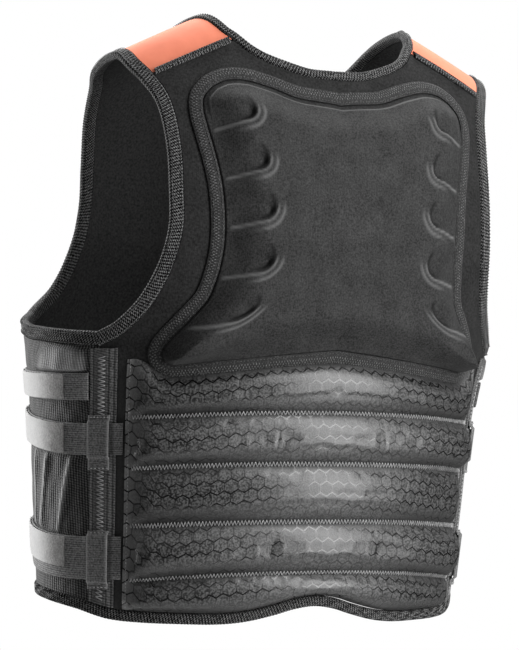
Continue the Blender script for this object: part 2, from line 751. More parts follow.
def strap_top(strap, angle):
    """Height of a strap's top edge: a quarter sine from its front end to the seam tape."""
    share = np.clip((STRAP_FRONT_ANGLE - angle) / (STRAP_FRONT_ANGLE - TAPE_TO), 0, 1)
    return mix(strap_size(strap, "top_front"), strap_size(strap, "top_back"), np.sin(share * math.pi / 2))


def free_of_straps(angle, z):
    """1 away from every strap, 0 below one."""
    free = np.ones(np.broadcast(angle, z).shape)
    for strap in STRAPS:
        above = z - strap_top(strap, angle)
        below = -strap_size(strap, "band_height") - above
        free = free * smooth(np.maximum(above, below), 0.3, 3.5)
    return free


print("strap lines:", list(STRAPS))

# %% [markdown]
# ## Knitted side panels
# Under each arm a ribbed knit lets the vest stretch. It is not flat: it puffs out above the first strap
# and falls into upright pleats between the lower straps. Cloth simulation could find such folds, but
# they are seen close up here, so each is a named relief on the grid, placed where it lies on the vest.

# %% Side panels
SIDE_ROWS, SIDE_COLUMNS = 120, 90
# Puff: angle, z, wide, tall, height.
PUFF = [77, -306, 14.5, 26, 4.5]
# Pleats: angle and z at the top, angle and z at the bottom, width, height.
PLEATS = [
    [94, -372, 94, -440, 4.0, 2.6],
    [85, -374, 91, -445, 5.0, 2.4],
    [73, -380, 80, -452, 4.5, 2.0],
]


def side_relief(angle, z):
    """Height of the knit above the torso, and its shade: a half ellipsoid puff, pleats that rise on one
    side, drop sharply on the other and are worn light on the crest, and a slow ripple."""
    centre, level, wide, tall, height = PUFF
    inside = 1 - ((angle - centre) / wide) ** 2 - ((z - level) / tall) ** 2
    relief = height * np.sqrt(np.maximum(inside, 0))
    crest = -1.3 * np.exp(-((inside / 0.16) ** 2)) + 0.6 * smooth(inside, 0.15, 0.8)
    for angle_top, z_top, angle_bottom, z_bottom, width, height in PLEATS:
        along = (z - z_top) / (z_bottom - z_top)
        offset = angle - mix(angle_top, angle_bottom, along)
        ends = smooth(along, -0.15, 0.2) * (1 - smooth(along, 0.85, 1.15))
        fold = np.where(offset > 0, np.exp(-offset / width), np.exp(offset / (0.3 * width)))
        relief = relief + height * ends * fold
        crest = crest + ends * np.exp(-(((offset - 0.6) / 0.9) ** 2))
    return relief + 0.35 * np.sin(angle * 0.9 + z * 0.05) * np.sin(z * 0.11), 0.6 * crest


def side_grid():
    """Spots between the two side seams, from the hem to the underarm edge."""
    angle = np.linspace(SEAM_ANGLE, 180 - SEAM_ANGLE, SIDE_COLUMNS)[None]
    up = np.linspace(0, 1, SIDE_ROWS)[:, None]
    z = mix(hem_height(angle), read_table(ARMHOLE_BOTTOM, angle), up)
    return np.broadcast_arrays(angle, z)


side_angle, side_z = side_grid()
side_edge = smooth(side_angle, 65.3, 69) * (1 - smooth(side_angle, 110, 114))
side_edge = side_edge * smooth(side_z - hem_height(side_angle), 0, 12) * free_of_straps(side_angle, side_z)
side_edge = side_edge * smooth(read_table(ARMHOLE_BOTTOM, side_angle) - side_z, 0, 4)
side_height, side_shade = side_relief(side_angle, side_z)
side_outer = on_torso(side_angle, side_z - CHEST_Z, side_height * side_edge)
side_inner = on_torso(side_angle, side_z - CHEST_Z, -PANEL_THICKNESS)
for side, flip in SIDES:
    piece = wall(f"side_knit_{side}", flip(side_outer), flip(side_inner), [rib_knit, lining],
                 shade=side_shade * side_edge)
    wear(piece, "knit", f"side_panel_{side}")
    as_sheet(side_outer)
print("side panels:", SIDE_ROWS, "rows of", SIDE_COLUMNS)

# %% [markdown]
# ## Coral shoulder yokes and their trim
# The yoke runs over the shoulder between the neck and the arm binding. Its end seams hide under a trim
# with two ridges, a smooth piping and a corded row of stitches, so the trim is a strip whose profile is
# two half rounds, the second one twisted like a rope.

# %% Yokes and trims
YOKE_COLUMNS = 40
TRIM_WIDTH, TRIM_LIFT = 8, 0.6
TRIM_ENDS = (0.03, 0.97)
CORD_PITCH = 2.6


def over_shoulder(back, back_steps, front, front_steps):
    """Edge of the yoke from its back seam over the shoulder line to its front seam."""
    up_back = back[len(back) - 1 - back_steps:]
    down_front = front[len(front) - 1 - front_steps:][::-1]
    return np.concatenate([up_back, down_front[1:]])


yoke_arm = over_shoulder(armhole_back, YOKE_SIDE_STEPS, armhole_front, YOKE_SIDE_STEPS)
yoke_neck = over_shoulder(neck_back, YOKE_SIDE_STEPS, neck_front, YOKE_SIDE_STEPS)


def yoke_spots(rows, shares):
    """Spots of the yoke: each row runs straight from the neck edge to the arm edge."""
    across = mix(yoke_neck[rows][:, None], yoke_arm[rows][:, None], np.asarray(shares)[None, :, None])
    return across[..., 0], across[..., 1]


def trim_strip(row):
    """Trim over one end seam: outer and inner grids, lines across its width by steps along the seam."""
    along = np.linspace(*TRIM_ENDS, 90)
    angle, rise = yoke_spots(np.array([row]), along)
    t = np.linspace(0, 1, 25)[:, None]
    length = run_lengths(torso(angle, rise), 1)
    piping = 2.3 * np.sqrt(np.maximum(0, 1 - ((t - 0.26) / 0.27) ** 2))
    twist = 0.5 + 0.5 * np.sin(2 * math.pi * (length / CORD_PITCH + 1.3 * t))
    cord = (1.2 + 0.8 * twist) * np.sqrt(np.maximum(0, 1 - ((t - 0.77) / 0.24) ** 2))
    height = 0.25 + np.maximum(piping, cord)
    place = rise + TRIM_WIDTH * (t - 0.55)
    around = np.broadcast_to(angle, place.shape)
    return on_torso(around, place, TRIM_LIFT + height), on_torso(around, place, TRIM_LIFT)


yoke_angle, yoke_rise = yoke_spots(np.arange(len(yoke_arm)), np.linspace(0, 1, YOKE_COLUMNS))
yoke_outer = on_torso(yoke_angle, yoke_rise, 0)
yoke_inner = on_torso(yoke_angle, yoke_rise, -PANEL_THICKNESS)
for side, flip in SIDES:
    yoke = wall(f"yoke_cloth_{side}", flip(yoke_outer), flip(yoke_inner), [coral, lining])
    wear(yoke, "coral_cloth", f"shoulder_yoke_{side}")
    as_sheet(yoke_outer)
    for end, row in [("back", 0), ("front", len(yoke_arm) - 1)]:
        outer, inner = trim_strip(row)
        trim = wall(f"yoke_trim_{side}_{end}", flip(outer), flip(inner), [binding_weave], 70)
        wear(trim, "binding", f"shoulder_trim_{side}_{end}")
print("yokes:", len(yoke_arm), "rows from back to front")

# %% [markdown]
# ## Edge bindings
# A binding is a folded strip sewn over a raw edge. Its section is a rounded oblong, and overlocking
# gives it slanted ribs all along. The path is measured out evenly first, so that the ribs keep one
# spacing and meet where the loop closes.

# %% Bindings
BINDING_GAP, BINDING_OUTSIDE, BINDING_INSIDE = 0.45, 1.7, -5.2
ARMHOLE_WIDTH, NECK_WIDTH, HEM_WIDTH = 12.5, 8.5, 10
RIB_PITCH = 3.1
RIB_SAMPLES = 5
PROFILE_CORNERS = 18


def even_track(spots, pitch):
    """Closed path measured out evenly: points, outward normals and directions along it."""
    points, normals = torso(spots[:, 0], spots[:, 1]), torso_normal(spots[:, 0], spots[:, 1])
    closed = np.concatenate([points, points[:1]])
    normals = np.concatenate([normals, normals[:1]])
    length = run_lengths(closed[None], 1)[0]
    count = int(round(length[-1] / pitch)) * RIB_SAMPLES
    at = np.linspace(0, length[-1], count, endpoint=False)
    even = np.stack([np.interp(at, length, closed[:, k]) for k in range(3)], -1)
    facing = unit(np.stack([np.interp(at, length, normals[:, k]) for k in range(3)], -1))
    along = unit(np.roll(even, -3, 0) - np.roll(even, 3, 0))
    return even, facing, along


def binding_profiles(track, width, toward, rib_height):
    """Rounded oblong carried along a track; slanted ribs stand up on its outer half."""
    points, normals, along = track
    away = unit(np.cross(normals, along)) * toward
    turn = np.linspace(0, 2 * math.pi, PROFILE_CORNERS, endpoint=False) + math.pi / PROFILE_CORNERS
    oblong = 0.5
    across = np.sign(np.cos(turn)) * np.abs(np.cos(turn)) ** oblong
    out = np.sign(np.sin(turn)) * np.abs(np.sin(turn)) ** oblong
    half_width = (width - BINDING_GAP) / 2
    half_height = (BINDING_OUTSIDE - BINDING_INSIDE) / 2
    phase = np.arange(len(points))[:, None] / RIB_SAMPLES + 0.9 * across[None]
    rib = rib_height * np.sin(2 * math.pi * phase) * smooth(out, -0.2, 0.6)[None]
    reach = BINDING_GAP + half_width * (1 + across)
    height = (BINDING_OUTSIDE + BINDING_INSIDE) / 2 + half_height * out + rib - 0.2
    return points[:, None] + away[:, None] * reach[None, :, None] + normals[:, None] * height[..., None]


def armhole_path():
    """Up the back to the shoulder, down the front, back along the underarm."""
    angle = np.linspace(180 - SEAM_ANGLE, SEAM_ANGLE, 60)[1:-1]
    bottom = np.stack([angle, read_table(ARMHOLE_BOTTOM, angle) - CHEST_Z], -1)
    return np.concatenate([armhole_back, armhole_front[::-1][1:], bottom])


def neck_path():
    """Half the neck from the back centre over the shoulder to the front centre, and its mirror image."""
    half = np.concatenate([neck_back, neck_front[::-1][1:]])
    return np.concatenate([half, half[1:-1][::-1] * [-1, 1]])


def hem_path():
    """Once round the body along the hem."""
    angle = np.linspace(-180, 180, 721)[:-1]
    return np.stack([angle, hem_height(angle) - CHEST_Z], -1)


armhole_track = even_track(armhole_path(), RIB_PITCH)
neck_track = even_track(neck_path(), RIB_PITCH)
hem_track = even_track(hem_path(), RIB_PITCH)
armhole_ring = binding_profiles(armhole_track, ARMHOLE_WIDTH, 1, 0.28)
for side, flip in SIDES:
    edge = sweep(f"armhole_edge_{side}", flip(armhole_ring), [binding_weave])
    wear(edge, "binding", f"armhole_binding_{side}")
neck_edge_piece = sweep("neck_edge", binding_profiles(neck_track, NECK_WIDTH, -1, 0.28), [binding_weave])
wear(neck_edge_piece, "binding", "neck_binding")
hem_edge_piece = sweep("hem_edge", binding_profiles(hem_track, HEM_WIDTH, 1, 0.55), [binding_weave])
wear(hem_edge_piece, "binding", "hem_binding")
print("bindings:", len(armhole_ring), "profiles round an armhole")

# %% [markdown]
# ## Upper pad
# The upper pad is foam moulded under jersey: a rolled rim, a crease inside it, a soft crown, and five
# finger grooves on each side. Each groove is a capsule, a line thickened by a radius. Measured from that
# line, the pad drops sharply on the lower side and rises gently on the upper side, with a double lip.

# %% Upper pad
LAYER_GAP = 0.6
UPPER_PAD_SIDE = [
    [144, -303.5], [150.5, -300], [153, -293.5], [150, -285], [137, -267], [124, -249], [118.5, -229],
    [116, -205], [116.5, -178], [118.5, -152], [123, -127], [127.5, -106], [130, -89], [128, -77],
    [119, -67],
]
UPPER_PAD_TOP = [[0, -78], [40, -74], [68, -65.5], [90, -60.5], [107, -61.5], [119, -67]]
UPPER_PAD_BOTTOM = [[0, -289], [92, -298], [144, -303.5]]
UPPER_PAD_HEIGHT, UPPER_PAD_EDGE, UPPER_PAD_ROUNDING = 17, 3, 32
CORNER_HEIGHT, CORNER_ROUNDING = 25, 12
GROOVE_LEVELS = [-109, -150, -191, -232, -273]
GROOVE_START, GROOVE_END = np.array([-12, 13]), np.array([28.5, 22.5])
GROOVE_RADIUS, GROOVE_DEPTH, LIP_DISTANCE = 14, 6, 5.4
SHELF_WIDTH, SHELF_DROP = 4.8, 1.5
PAD_STEPS, PAD_COLUMNS = 13, 221


def groove_fields(inward, z):
    """Depth and shade of the grooves from the distance to each groove's line: a steep wall below it and
    round its inner end, a slow ramp above it, a lip on the wall's edge, a second one further out, and a
    dark crescent inside the inner end."""
    depth, shade = np.zeros(inward.shape), np.zeros(inward.shape)
    axis = GROOVE_END - GROOVE_START
    for level in GROOVE_LEVELS:
        px, py = inward - GROOVE_START[0], z - level - GROOVE_START[1]
        share = np.clip((px * axis[0] + py * axis[1]) / (axis @ axis), 0, 1)
        dx, dy = px - share * axis[0], py - share * axis[1]
        far = np.hypot(dx, dy)
        within = GROOVE_RADIUS - far
        slope = dy / np.maximum(far, 1e-6)
        upper = smooth(slope, -0.65, 0.35)
        ramp = 1 - np.clip((dy + GROOVE_RADIUS) / (2 * GROOVE_RADIUS), 0, 1)
        scoop = smooth(within, 0, mix(3.4, 14, upper)) * ramp**0.8 * mix(0.65, 0.9, share)
        ends = 1 - smooth(slope, -0.4, 0.2)
        lip = np.exp(-((within / 1.3) ** 2)) * ends * smooth(inward, 1, 6)
        outer_lip = np.exp(-(((within + LIP_DISTANCE) / 1.4) ** 2)) * ends * smooth(inward, 16, 36)
        depth = depth + GROOVE_DEPTH * scoop - 0.4 * lip - 0.8 * outer_lip
        inner_end = smooth(share, 0.85, 1) * (1 - smooth(slope, 0.6, 1))
        crescent = np.exp(-(((within - 3) / 1.7) ** 2)) * inner_end
        shade = shade + 0.6 * lip + 0.5 * outer_lip - 0.15 * scoop - 0.85 * crescent
    return depth, shade


def distance_to(points, line):
    """Distance of each point of a grid to the nearest point of a line."""
    flat = points.reshape(-1, 3)
    parts = [np.sqrt(((part[:, None] - line[None]) ** 2).sum(-1).min(1))
             for part in np.array_split(flat, 60)]
    return np.concatenate(parts).reshape(points.shape[:-1])


def upper_pad_grid():
    """Spots of the upper pad, closer together toward its sides."""
    side = spline(table_spots(UPPER_PAD_SIDE), PAD_STEPS)
    top = edge_rise(spline(table_spots(UPPER_PAD_TOP), 8))
    bottom = edge_rise(spline(table_spots(UPPER_PAD_BOTTOM), 8))
    even = np.linspace(-1, 1, PAD_COLUMNS)
    shares = np.sign(even) * mix(1 - (1 - np.abs(even)) ** 2, np.abs(even), 0.35)
    return panel_spots(side, shares, bottom, top)


def upper_pad_height(angle, rise):
    """Height and shade of the upper pad: an S-shaped rise in from the outline, steeper and higher at the
    two lower corners, less the grooves; along the top a narrow shelf steps down to the border."""
    place = torso(angle, rise)
    rim = distance_to(place, np.concatenate([place[0], place[-1], place[:, 0], place[:, -1]]))
    corner = smooth(np.abs(place[..., 0]), 70, 140) * (1 - smooth(place[..., 2], -285, -205))
    reach = np.clip(rim / mix(UPPER_PAD_ROUNDING, CORNER_ROUNDING, corner), 0, 1)
    fill = mix(smooth(reach, 0, 1), reach**0.7, mix(0.3, 0.8, corner))
    inward = np.abs(place[:, -1:, 0]) - np.abs(place[..., 0])
    depth, shade = groove_fields(inward, place[..., 2])
    upper = smooth(place[..., 2], -104, -80)
    shelf = 1 - smooth(rim, SHELF_WIDTH - 0.7, SHELF_WIDTH + 0.7)
    crown = mix(UPPER_PAD_HEIGHT, CORNER_HEIGHT, corner)
    height = mix(UPPER_PAD_EDGE, crown, fill) - depth * fill - SHELF_DROP * shelf * upper
    height = height - 0.8 * (1 - smooth(rim, 0, 1.2))
    shade = shade + upper * (0.6 * np.exp(-(((rim - SHELF_WIDTH) / 0.9) ** 2)) - 0.35 * shelf)
    return height, np.clip(shade - 0.6 * (1 - smooth(rim, 0, 0.9)), -1, 1)


pad_angle, pad_rise = upper_pad_grid()
pad_height, pad_shade = upper_pad_height(pad_angle, pad_rise)
pad_outer = on_torso(pad_angle, pad_rise, LAYER_GAP + pad_height)
pad_inner = on_torso(pad_angle, pad_rise, LAYER_GAP)
upper_pad = wall("upper_pad_foam", pad_outer, pad_inner, [pad_jersey], 75, pad_shade)
wear(upper_pad, "pad_cloth", "upper_back_pad")
print("upper pad:", round(float(pad_height.max()), 1), "mm high at most")

# %% [markdown]
# ## Border of the upper pad
# The pad is let into a border that is sewn to the back all round. The border is a flat strip carried
# round the pad's outline, a little raised in its middle, with a row of stitches near each edge.

# %% Border
BORDER_WIDTH, BORDER_THICKNESS, BORDER_LINES = 12, 2.0, 13
BORDER_STEP, BORDER_GAP = 6.0, 0.45


def pad_outline():
    """Outline of the upper pad as spots: bottom from the centre, up the left side, top, and the mirror
    image."""
    middle = PAD_COLUMNS // 2
    parts = [(0, slice(middle, -1)), (slice(None), -1), (-1, slice(-2, middle - 1, -1))]
    half = np.concatenate([np.stack([pad_angle[part], pad_rise[part]], -1) for part in parts])
    return np.concatenate([half, half[1:-1][::-1] * [-1, 1]])


border_track = even_track(pad_outline(), BORDER_STEP)


def border_spot(distance):
    """Spots at a distance out from the pad's outline."""
    points, normals, along = border_track
    moved = points + unit(np.cross(normals, along)) * distance
    return spot(moved[:, 0], moved[:, 2])


def border_crown(share):
    """Height of the border across its width: level with the pad inside, thin at its outer edge."""
    return BORDER_THICKNESS * (1.2 - 0.75 * share**3) - 0.3 * np.exp(-((share / 0.06) ** 2))


def border_profiles():
    """Closed profile round the outline: along the top of the strip and back underneath."""
    t = np.linspace(0, 1, BORDER_LINES)
    shares = np.concatenate([t, t[::-1]])
    heights = np.concatenate([border_crown(t), np.zeros(BORDER_LINES)])
    lines = []
    for share, height in zip(shares, heights):
        spots = border_spot(mix(BORDER_GAP, BORDER_WIDTH, share))
        lines.append(on_torso(*spots.T, LAYER_GAP + height))
    return np.stack(lines, 1)


edge_strip = sweep("upper_pad_edge_strip", border_profiles(), [border_jersey])
wear(edge_strip, "pad_border", "upper_pad_border")
print("border:", len(border_track[0]), "steps round the pad")

# %% [markdown]
# ## Lower pad
# Five rolls of soft filling are quilted under honeycomb cloth. Quilting is where a cloth simulation
# earns its time: the sheet is pinned along the seams, given a little more cloth than the shape needs,
# and blown up from inside, so that the puckers along each seam come out by themselves.

# %% Lower pad grid
LOWER_PAD_ANGLE, LOWER_PAD_MARGIN = 53.5, 1.6
LOWER_PAD_SEAMS = [[-343, -348.4], [-387, -391.7], [-437, -441], [-481, -488.5]]
LOWER_PAD_TOP = [[0, -300], [14, -303.5], [26, -308.5], [40, -313], [44, -310], [47.5, -303], [50.5, -299],
                 [53.5, -299]]
ROLL_HEIGHT, ROLL_SEAM_HEIGHT, MARGIN_HEIGHT = 12, 4.5, 2.8
ROLL_FLATNESS, ROLL_SAG = 3.0, 1.1
ROLL_ROWS, ROLL_COLUMNS = 22, 221
LIFTED_ROLLS, END_LIFT, END_LIFT_ANGLES = [1, 3], 8, (14, 47)
UNDERSIDE_SHADES, UNDERSIDE_ANGLES = (0.15, 0.9), (10, 30)


def seam_height(seam, angle):
    """Height of a seam at an angle: the pad's top, the four sewn seams, and the hem."""
    if seam == 0:
        return read_table(LOWER_PAD_TOP, np.abs(angle), flat_start=True, flat_end=True)
    if seam > len(LOWER_PAD_SEAMS):
        return hem_height(angle) + LAYER_GAP
    centre, end = LOWER_PAD_SEAMS[seam - 1]
    return mix(centre, end, (angle / LOWER_PAD_ANGLE) ** 2)


def lower_pad_grid():
    """Angles, levels, fullness, swell and height of the rolls: fullness is 0 on each seam and 1 in mid
    roll, swell is 0 on the sewn margin; the top edge, under the border, and the hem edge are thin, and
    the straps beneath two of the rolls lift their ends."""
    angle = np.linspace(-LOWER_PAD_ANGLE, LOWER_PAD_ANGLE, ROLL_COLUMNS)[None]
    rolls = len(LOWER_PAD_SEAMS) + 1
    share = np.linspace(0, 1, ROLL_ROWS, endpoint=False)[:, None]
    z = [mix(seam_height(k, angle), seam_height(k + 1, angle), share) for k in range(rolls)]
    z.append(seam_height(rolls, angle))
    bulge = np.tile(1 - np.abs(2 * share**ROLL_SAG - 1) ** ROLL_FLATNESS, (rolls, 1))
    bulge = np.concatenate([bulge, [[0.0]]])
    sole = np.full((rolls * ROLL_ROWS + 1, 1), float(ROLL_SEAM_HEIGHT))
    sole[:ROLL_ROWS] = mix(0.2, ROLL_SEAM_HEIGHT, smooth(share, 0, 0.5))
    sole[-ROLL_ROWS - 1:-1] = mix(ROLL_SEAM_HEIGHT, 0.8, smooth(share, 0.4, 1))
    sole[-1] = 0.8
    inward = LOWER_PAD_ANGLE - np.abs(angle) - LOWER_PAD_MARGIN
    swell = 1 - (1 - np.clip(inward / 7, 0, 1)) ** 2
    lifted = np.isin(np.arange(rolls * ROLL_ROWS + 1) // ROLL_ROWS, LIFTED_ROLLS)[:, None]
    crown = ROLL_HEIGHT + END_LIFT * lifted * smooth(np.abs(angle), *END_LIFT_ANGLES)
    height = mix(np.minimum(MARGIN_HEIGHT, sole), mix(sole, crown, bulge), swell)
    return np.broadcast_arrays(angle, np.concatenate(z), bulge, swell, height)


roll_angle, roll_z, roll_bulge, roll_swell, roll_height = lower_pad_grid()
print("lower pad grid:", roll_angle.shape)

# %% [markdown]
# The simulation needs the sheet alone. Seam rows and the sewn margin are pinned, gravity is off, and
# how far a point may move is capped, so the rolls keep the place that the solid gives them.

# %% Quilting simulation
SIM_FRAMES = 20
SIM_PRESSURE = 2.0
SIM_SPARE_CLOTH = -0.003
MOVE_LIMIT = 0.7


def quilted(start, pinned):
    """Sheet after the simulation, as a grid of points."""
    rows, columns = start.shape[:2]
    faces, _ = grid_faces(rows, columns)
    mesh = bpy.data.meshes.new("quilting")
    mesh.from_pydata((start * MM).reshape(-1, 3), [], faces[:, ::-1])
    sheet = bpy.data.objects.new("quilting", mesh)
    scene.collection.objects.link(sheet)
    group = sheet.vertex_groups.new(name="sewn")
    group.add(np.flatnonzero(pinned.ravel()).tolist(), 1.0, "REPLACE")
    cloth = sheet.modifiers.new("cloth", "CLOTH")
    cloth.settings.quality = 6
    cloth.settings.mass = 0.2
    cloth.settings.tension_stiffness = 20
    cloth.settings.compression_stiffness = 20
    cloth.settings.bending_stiffness = 0.05
    cloth.settings.vertex_group_mass = group.name
    cloth.settings.shrink_min = SIM_SPARE_CLOTH
    cloth.settings.use_pressure = True
    cloth.settings.uniform_pressure_force = SIM_PRESSURE
    cloth.settings.effector_weights.gravity = 0
    cloth.collision_settings.use_collision = False
    cloth.point_cache.frame_start, cloth.point_cache.frame_end = 1, SIM_FRAMES
    for number in range(1, SIM_FRAMES + 1):
        scene.frame_set(number)
    settled = sheet.evaluated_get(bpy.context.evaluated_depsgraph_get()).to_mesh()
    points = np.empty(rows * columns * 3, np.float32)
    settled.vertices.foreach_get("co", points)
    scene.frame_set(1)
    bpy.data.objects.remove(sheet)
    bpy.data.meshes.remove(mesh)
    return points.reshape(rows, columns, 3).astype(float) / MM


roll_start = on_torso(roll_angle, roll_z - CHEST_Z, LAYER_GAP + roll_height)
roll_outer = roll_start
sewn = (roll_bulge < 0.02) | (roll_swell < 0.02)
sewn[:, [0, -1]] = True
move = quilted(roll_start, sewn) - roll_start
far = np.linalg.norm(move, axis=-1, keepdims=True)
roll_outer = roll_start + move * np.minimum(1, MOVE_LIMIT / np.maximum(far, 1e-6))
print("quilting moved the cloth by up to", round(float(far.max()), 1), "mm")
roll_inner = on_torso(roll_angle, roll_z - CHEST_Z, LAYER_GAP)
roll_share = (np.arange(len(roll_angle)) % ROLL_ROWS)[:, None] / ROLL_ROWS
roll_side = smooth(np.abs(roll_angle), *UNDERSIDE_ANGLES)
roll_under = mix(*UNDERSIDE_SHADES, roll_side) * smooth(roll_share, 0.55, 1)
roll_crease = 0.8 * (1 - smooth(roll_bulge, 0.08, 0.5)) + roll_under
roll_shade = 0.55 * (1 - roll_swell) - np.minimum(roll_crease, 1) * roll_swell
lower_pad = wall("lower_pad_rolls", roll_outer, roll_inner, [honeycomb_cloth], 80, roll_shade, roll_inner)
wear(lower_pad, "honeycomb", "lower_back_pad")

# %% [markdown]
# ## Seam tapes
# A flat tape covers each side seam. It is a thin wall from the hem to the armhole, and the zigzag that
# holds it is thread: short stitches whose ends step from side to side.

# %% Seam tapes
TAPE_THICKNESS = 1.1
TAPE_ROWS, TAPE_COLUMNS = 60, 33
TAPE_TOP_GAPS = {"back": 1.5, "front": 7}
ZIGZAG_ANGLES = (60.1, 62.8)
ZIGZAG_STEP = 1.8


def tape_z(angle, up, end):
    """Height along a tape, from just above the hem to just below the armhole."""
    seam = SEAM_ANGLE if end == "back" else 180 - SEAM_ANGLE
    top = read_table(ARMHOLE_BOTTOM, seam) - TAPE_TOP_GAPS[end]
    return mix(hem_height(angle) + 0.8, top, up)


def tape_grids(end):
    """Outer and inner grids and shade of a tape; three lines along it lie lower and darker, and so does
    the ground of the zigzag."""
    angle = np.linspace(TAPE_FROM, TAPE_TO, TAPE_COLUMNS)[None]
    across = np.linspace(0, 1, TAPE_COLUMNS)[None]
    up = np.linspace(0, 1, TAPE_ROWS)[:, None]
    around = angle if end == "back" else 180 - angle
    z = tape_z(around, up, end)
    groove = sum(np.exp(-(((across - at) / 0.028) ** 2)) for at in (0.1, 0.3, 0.88))
    beside = smooth(across, 0.3, 0.38) * (1 - smooth(across, 0.78, 0.86))
    shade = np.broadcast_to(-0.8 * groove - 0.4 * beside, z.shape)
    height = np.broadcast_to(TAPE_THICKNESS * (1 - 0.5 * groove), z.shape)
    around = np.broadcast_to(around, z.shape)
    outer = on_torso(around, z - CHEST_Z, LAYER_GAP + height)
    return outer, on_torso(around, z - CHEST_Z, LAYER_GAP), shade


def zigzag(end):
    """Start, end and normal of each zigzag stitch on a tape."""
    count = int(215 / ZIGZAG_STEP)
    up = np.linspace(0.02, 0.97, count)
    angle = np.where(np.arange(count) % 2 == 0, *ZIGZAG_ANGLES)
    around = angle if end == "back" else 180 - angle
    z = tape_z(around, up, end)
    points = on_torso(around, z - CHEST_Z, LAYER_GAP + TAPE_THICKNESS)
    return points[:-1], points[1:], torso_normal(around, z - CHEST_Z)[:-1]


for end in ["back", "front"]:
    tape_outer, tape_inner, tape_shade = tape_grids(end)
    starts, ends, normals = zigzag(end)
    for side, flip in SIDES:
        tape = wall(f"seam_tape_cloth_{side}_{end}", flip(tape_outer), flip(tape_inner), [tape_cloth],
                    shade=tape_shade)
        wear(tape, "seam_tape", f"seam_tape_{side}_{end}")
        zig = thread(f"zigzag_{side}_{end}", flip(starts), flip(ends), flip(normals), 0.55, [light_thread])
        wear(zig, "seam_tape")
print("tapes:", len(starts), "zigzag stitches on each")

# %% [markdown]
# ## Side straps
# Three elastic bands cross each side panel. A lighter tab of pile lies on the front part of each band,
# and the two lower bands pass under a webbing loop. Straps keep their flat section, so each is a thin
# strip that follows the torso with a small bow, and no simulation is needed.

# %% Straps
TAB_BACK_ANGLE, TAB_INSET = 75.3, 1
STRAP_THICKNESS, TAB_THICKNESS, STRAP_GAP = 1.8, 1.4, 0.45
KEEPERS = {2: (7, 13), 3: (5, 8)}
KEEPER_ANGLES, KEEPER_THICKNESS = (58.4, 65.6), 1.4
BAND_SHADOW_ANGLES, TAB_SHADES = (58, 67), (-0.15, 0.5)
LOOP_SHADOW_ANGLES = (57.9, 66.3)


def strap_lift(angle):
    """Lift of a strap off the torso: over the tape near the back seam, close to the knit beyond it."""
    over_tape = LAYER_GAP + TAPE_THICKNESS + STRAP_GAP
    return mix(over_tape, LAYER_GAP, smooth(angle, TAPE_TO + 0.3, TAPE_TO + 3))


def strap_strip(strap, back_angle, lift, thickness, inset, height, steps):
    """Outer and inner grids of a strip along a strap, with the angle and the share of its length at each
    point; its long edges are slightly rounded."""
    angle = np.linspace(back_angle, STRAP_FRONT_ANGLE, steps)[None]
    t = np.linspace(0, 1, 17)[:, None]
    z = strap_top(strap, angle) - inset - height * t
    edge = 1 - 0.35 * np.abs(2 * t - 1) ** 8
    angle = np.broadcast_to(angle, z.shape)
    base = strap_lift(angle) + lift
    far = (angle - back_angle) / (STRAP_FRONT_ANGLE - back_angle)
    outer = on_torso(angle, z - CHEST_Z, base + thickness * edge)
    return outer, on_torso(angle, z - CHEST_Z, base), angle, far


def keeper_grids(strap):
    """Outer and inner grids of a strap loop: down on the tape at both ends, raised over the strap, and
    standing off a little more along its back edge."""
    above, below = KEEPERS[strap]
    top = strap_top(strap, TAPE_TO)
    bottom = top - strap_size(strap, "band_height")
    z = np.linspace(top + above, bottom - below, 60)[:, None]
    angle = np.linspace(*KEEPER_ANGLES, 15)[None]
    raised = smooth(z, bottom - 3.5, bottom - 0.8) * (1 - smooth(z, top + 0.8, top + 3.5))
    low = LAYER_GAP + TAPE_THICKNESS + STRAP_GAP
    stand_off = 0.9 * (1 - smooth(angle, KEEPER_ANGLES[0], KEEPER_ANGLES[0] + 3.5))
    lift = low + raised * (STRAP_THICKNESS + STRAP_GAP + stand_off)
    shade = sum(0.6 * np.exp(-(((angle - edge) / 0.45) ** 2)) for edge in KEEPER_ANGLES)
    angle, z, lift, shade = np.broadcast_arrays(angle, z, lift, shade)
    return on_torso(angle, z - CHEST_Z, lift + KEEPER_THICKNESS), on_torso(angle, z - CHEST_Z, lift), shade


for strap in STRAPS:
    back_angle = strap_size(strap, "back_angle")
    band = strap_strip(strap, back_angle, 0, STRAP_THICKNESS, 0, strap_size(strap, "band_height"), 70)
    tab_lift = STRAP_THICKNESS + STRAP_GAP
    tab_height = strap_size(strap, "tab_height")
    tab = strap_strip(strap, TAB_BACK_ANGLE, tab_lift, TAB_THICKNESS, TAB_INSET, tab_height, 50)
    band_shade = -0.3 * (1 - smooth(band[2], *BAND_SHADOW_ANGLES))
    if strap in KEEPERS:
        band_shade -= sum(0.6 * np.exp(-(((band[2] - at) / 0.6) ** 2)) for at in LOOP_SHADOW_ANGLES)
    tab_shade = mix(*TAB_SHADES, smooth(tab[3], 0, 0.45))
    for side, flip in SIDES:
        for name, grids, finish, slot, shade in [("band", band, elastic, "elastic", band_shade),
                                                 ("tab", tab, pile, "pile", tab_shade)]:
            piece = wall(f"side_{name}_{side}_{strap}", flip(grids[0]), flip(grids[1]), [finish], 40, shade)
            wear(piece, slot, f"strap_{name}_{side}_{strap}")
            as_sheet(grids[0])
for strap in KEEPERS:
    keeper = keeper_grids(strap)
    for side, flip in SIDES:
        outer, inner, shade = flip(keeper[0]), flip(keeper[1]), keeper[2]
        piece = wall(f"side_loop_{side}_{strap}", outer, inner, [keeper_webbing], 40, shade)
        wear(piece, "webbing", f"strap_keeper_{side}_{strap}")
        as_sheet(keeper[0])
print("straps:", len(STRAPS), "a side, loops on", list(KEEPERS))

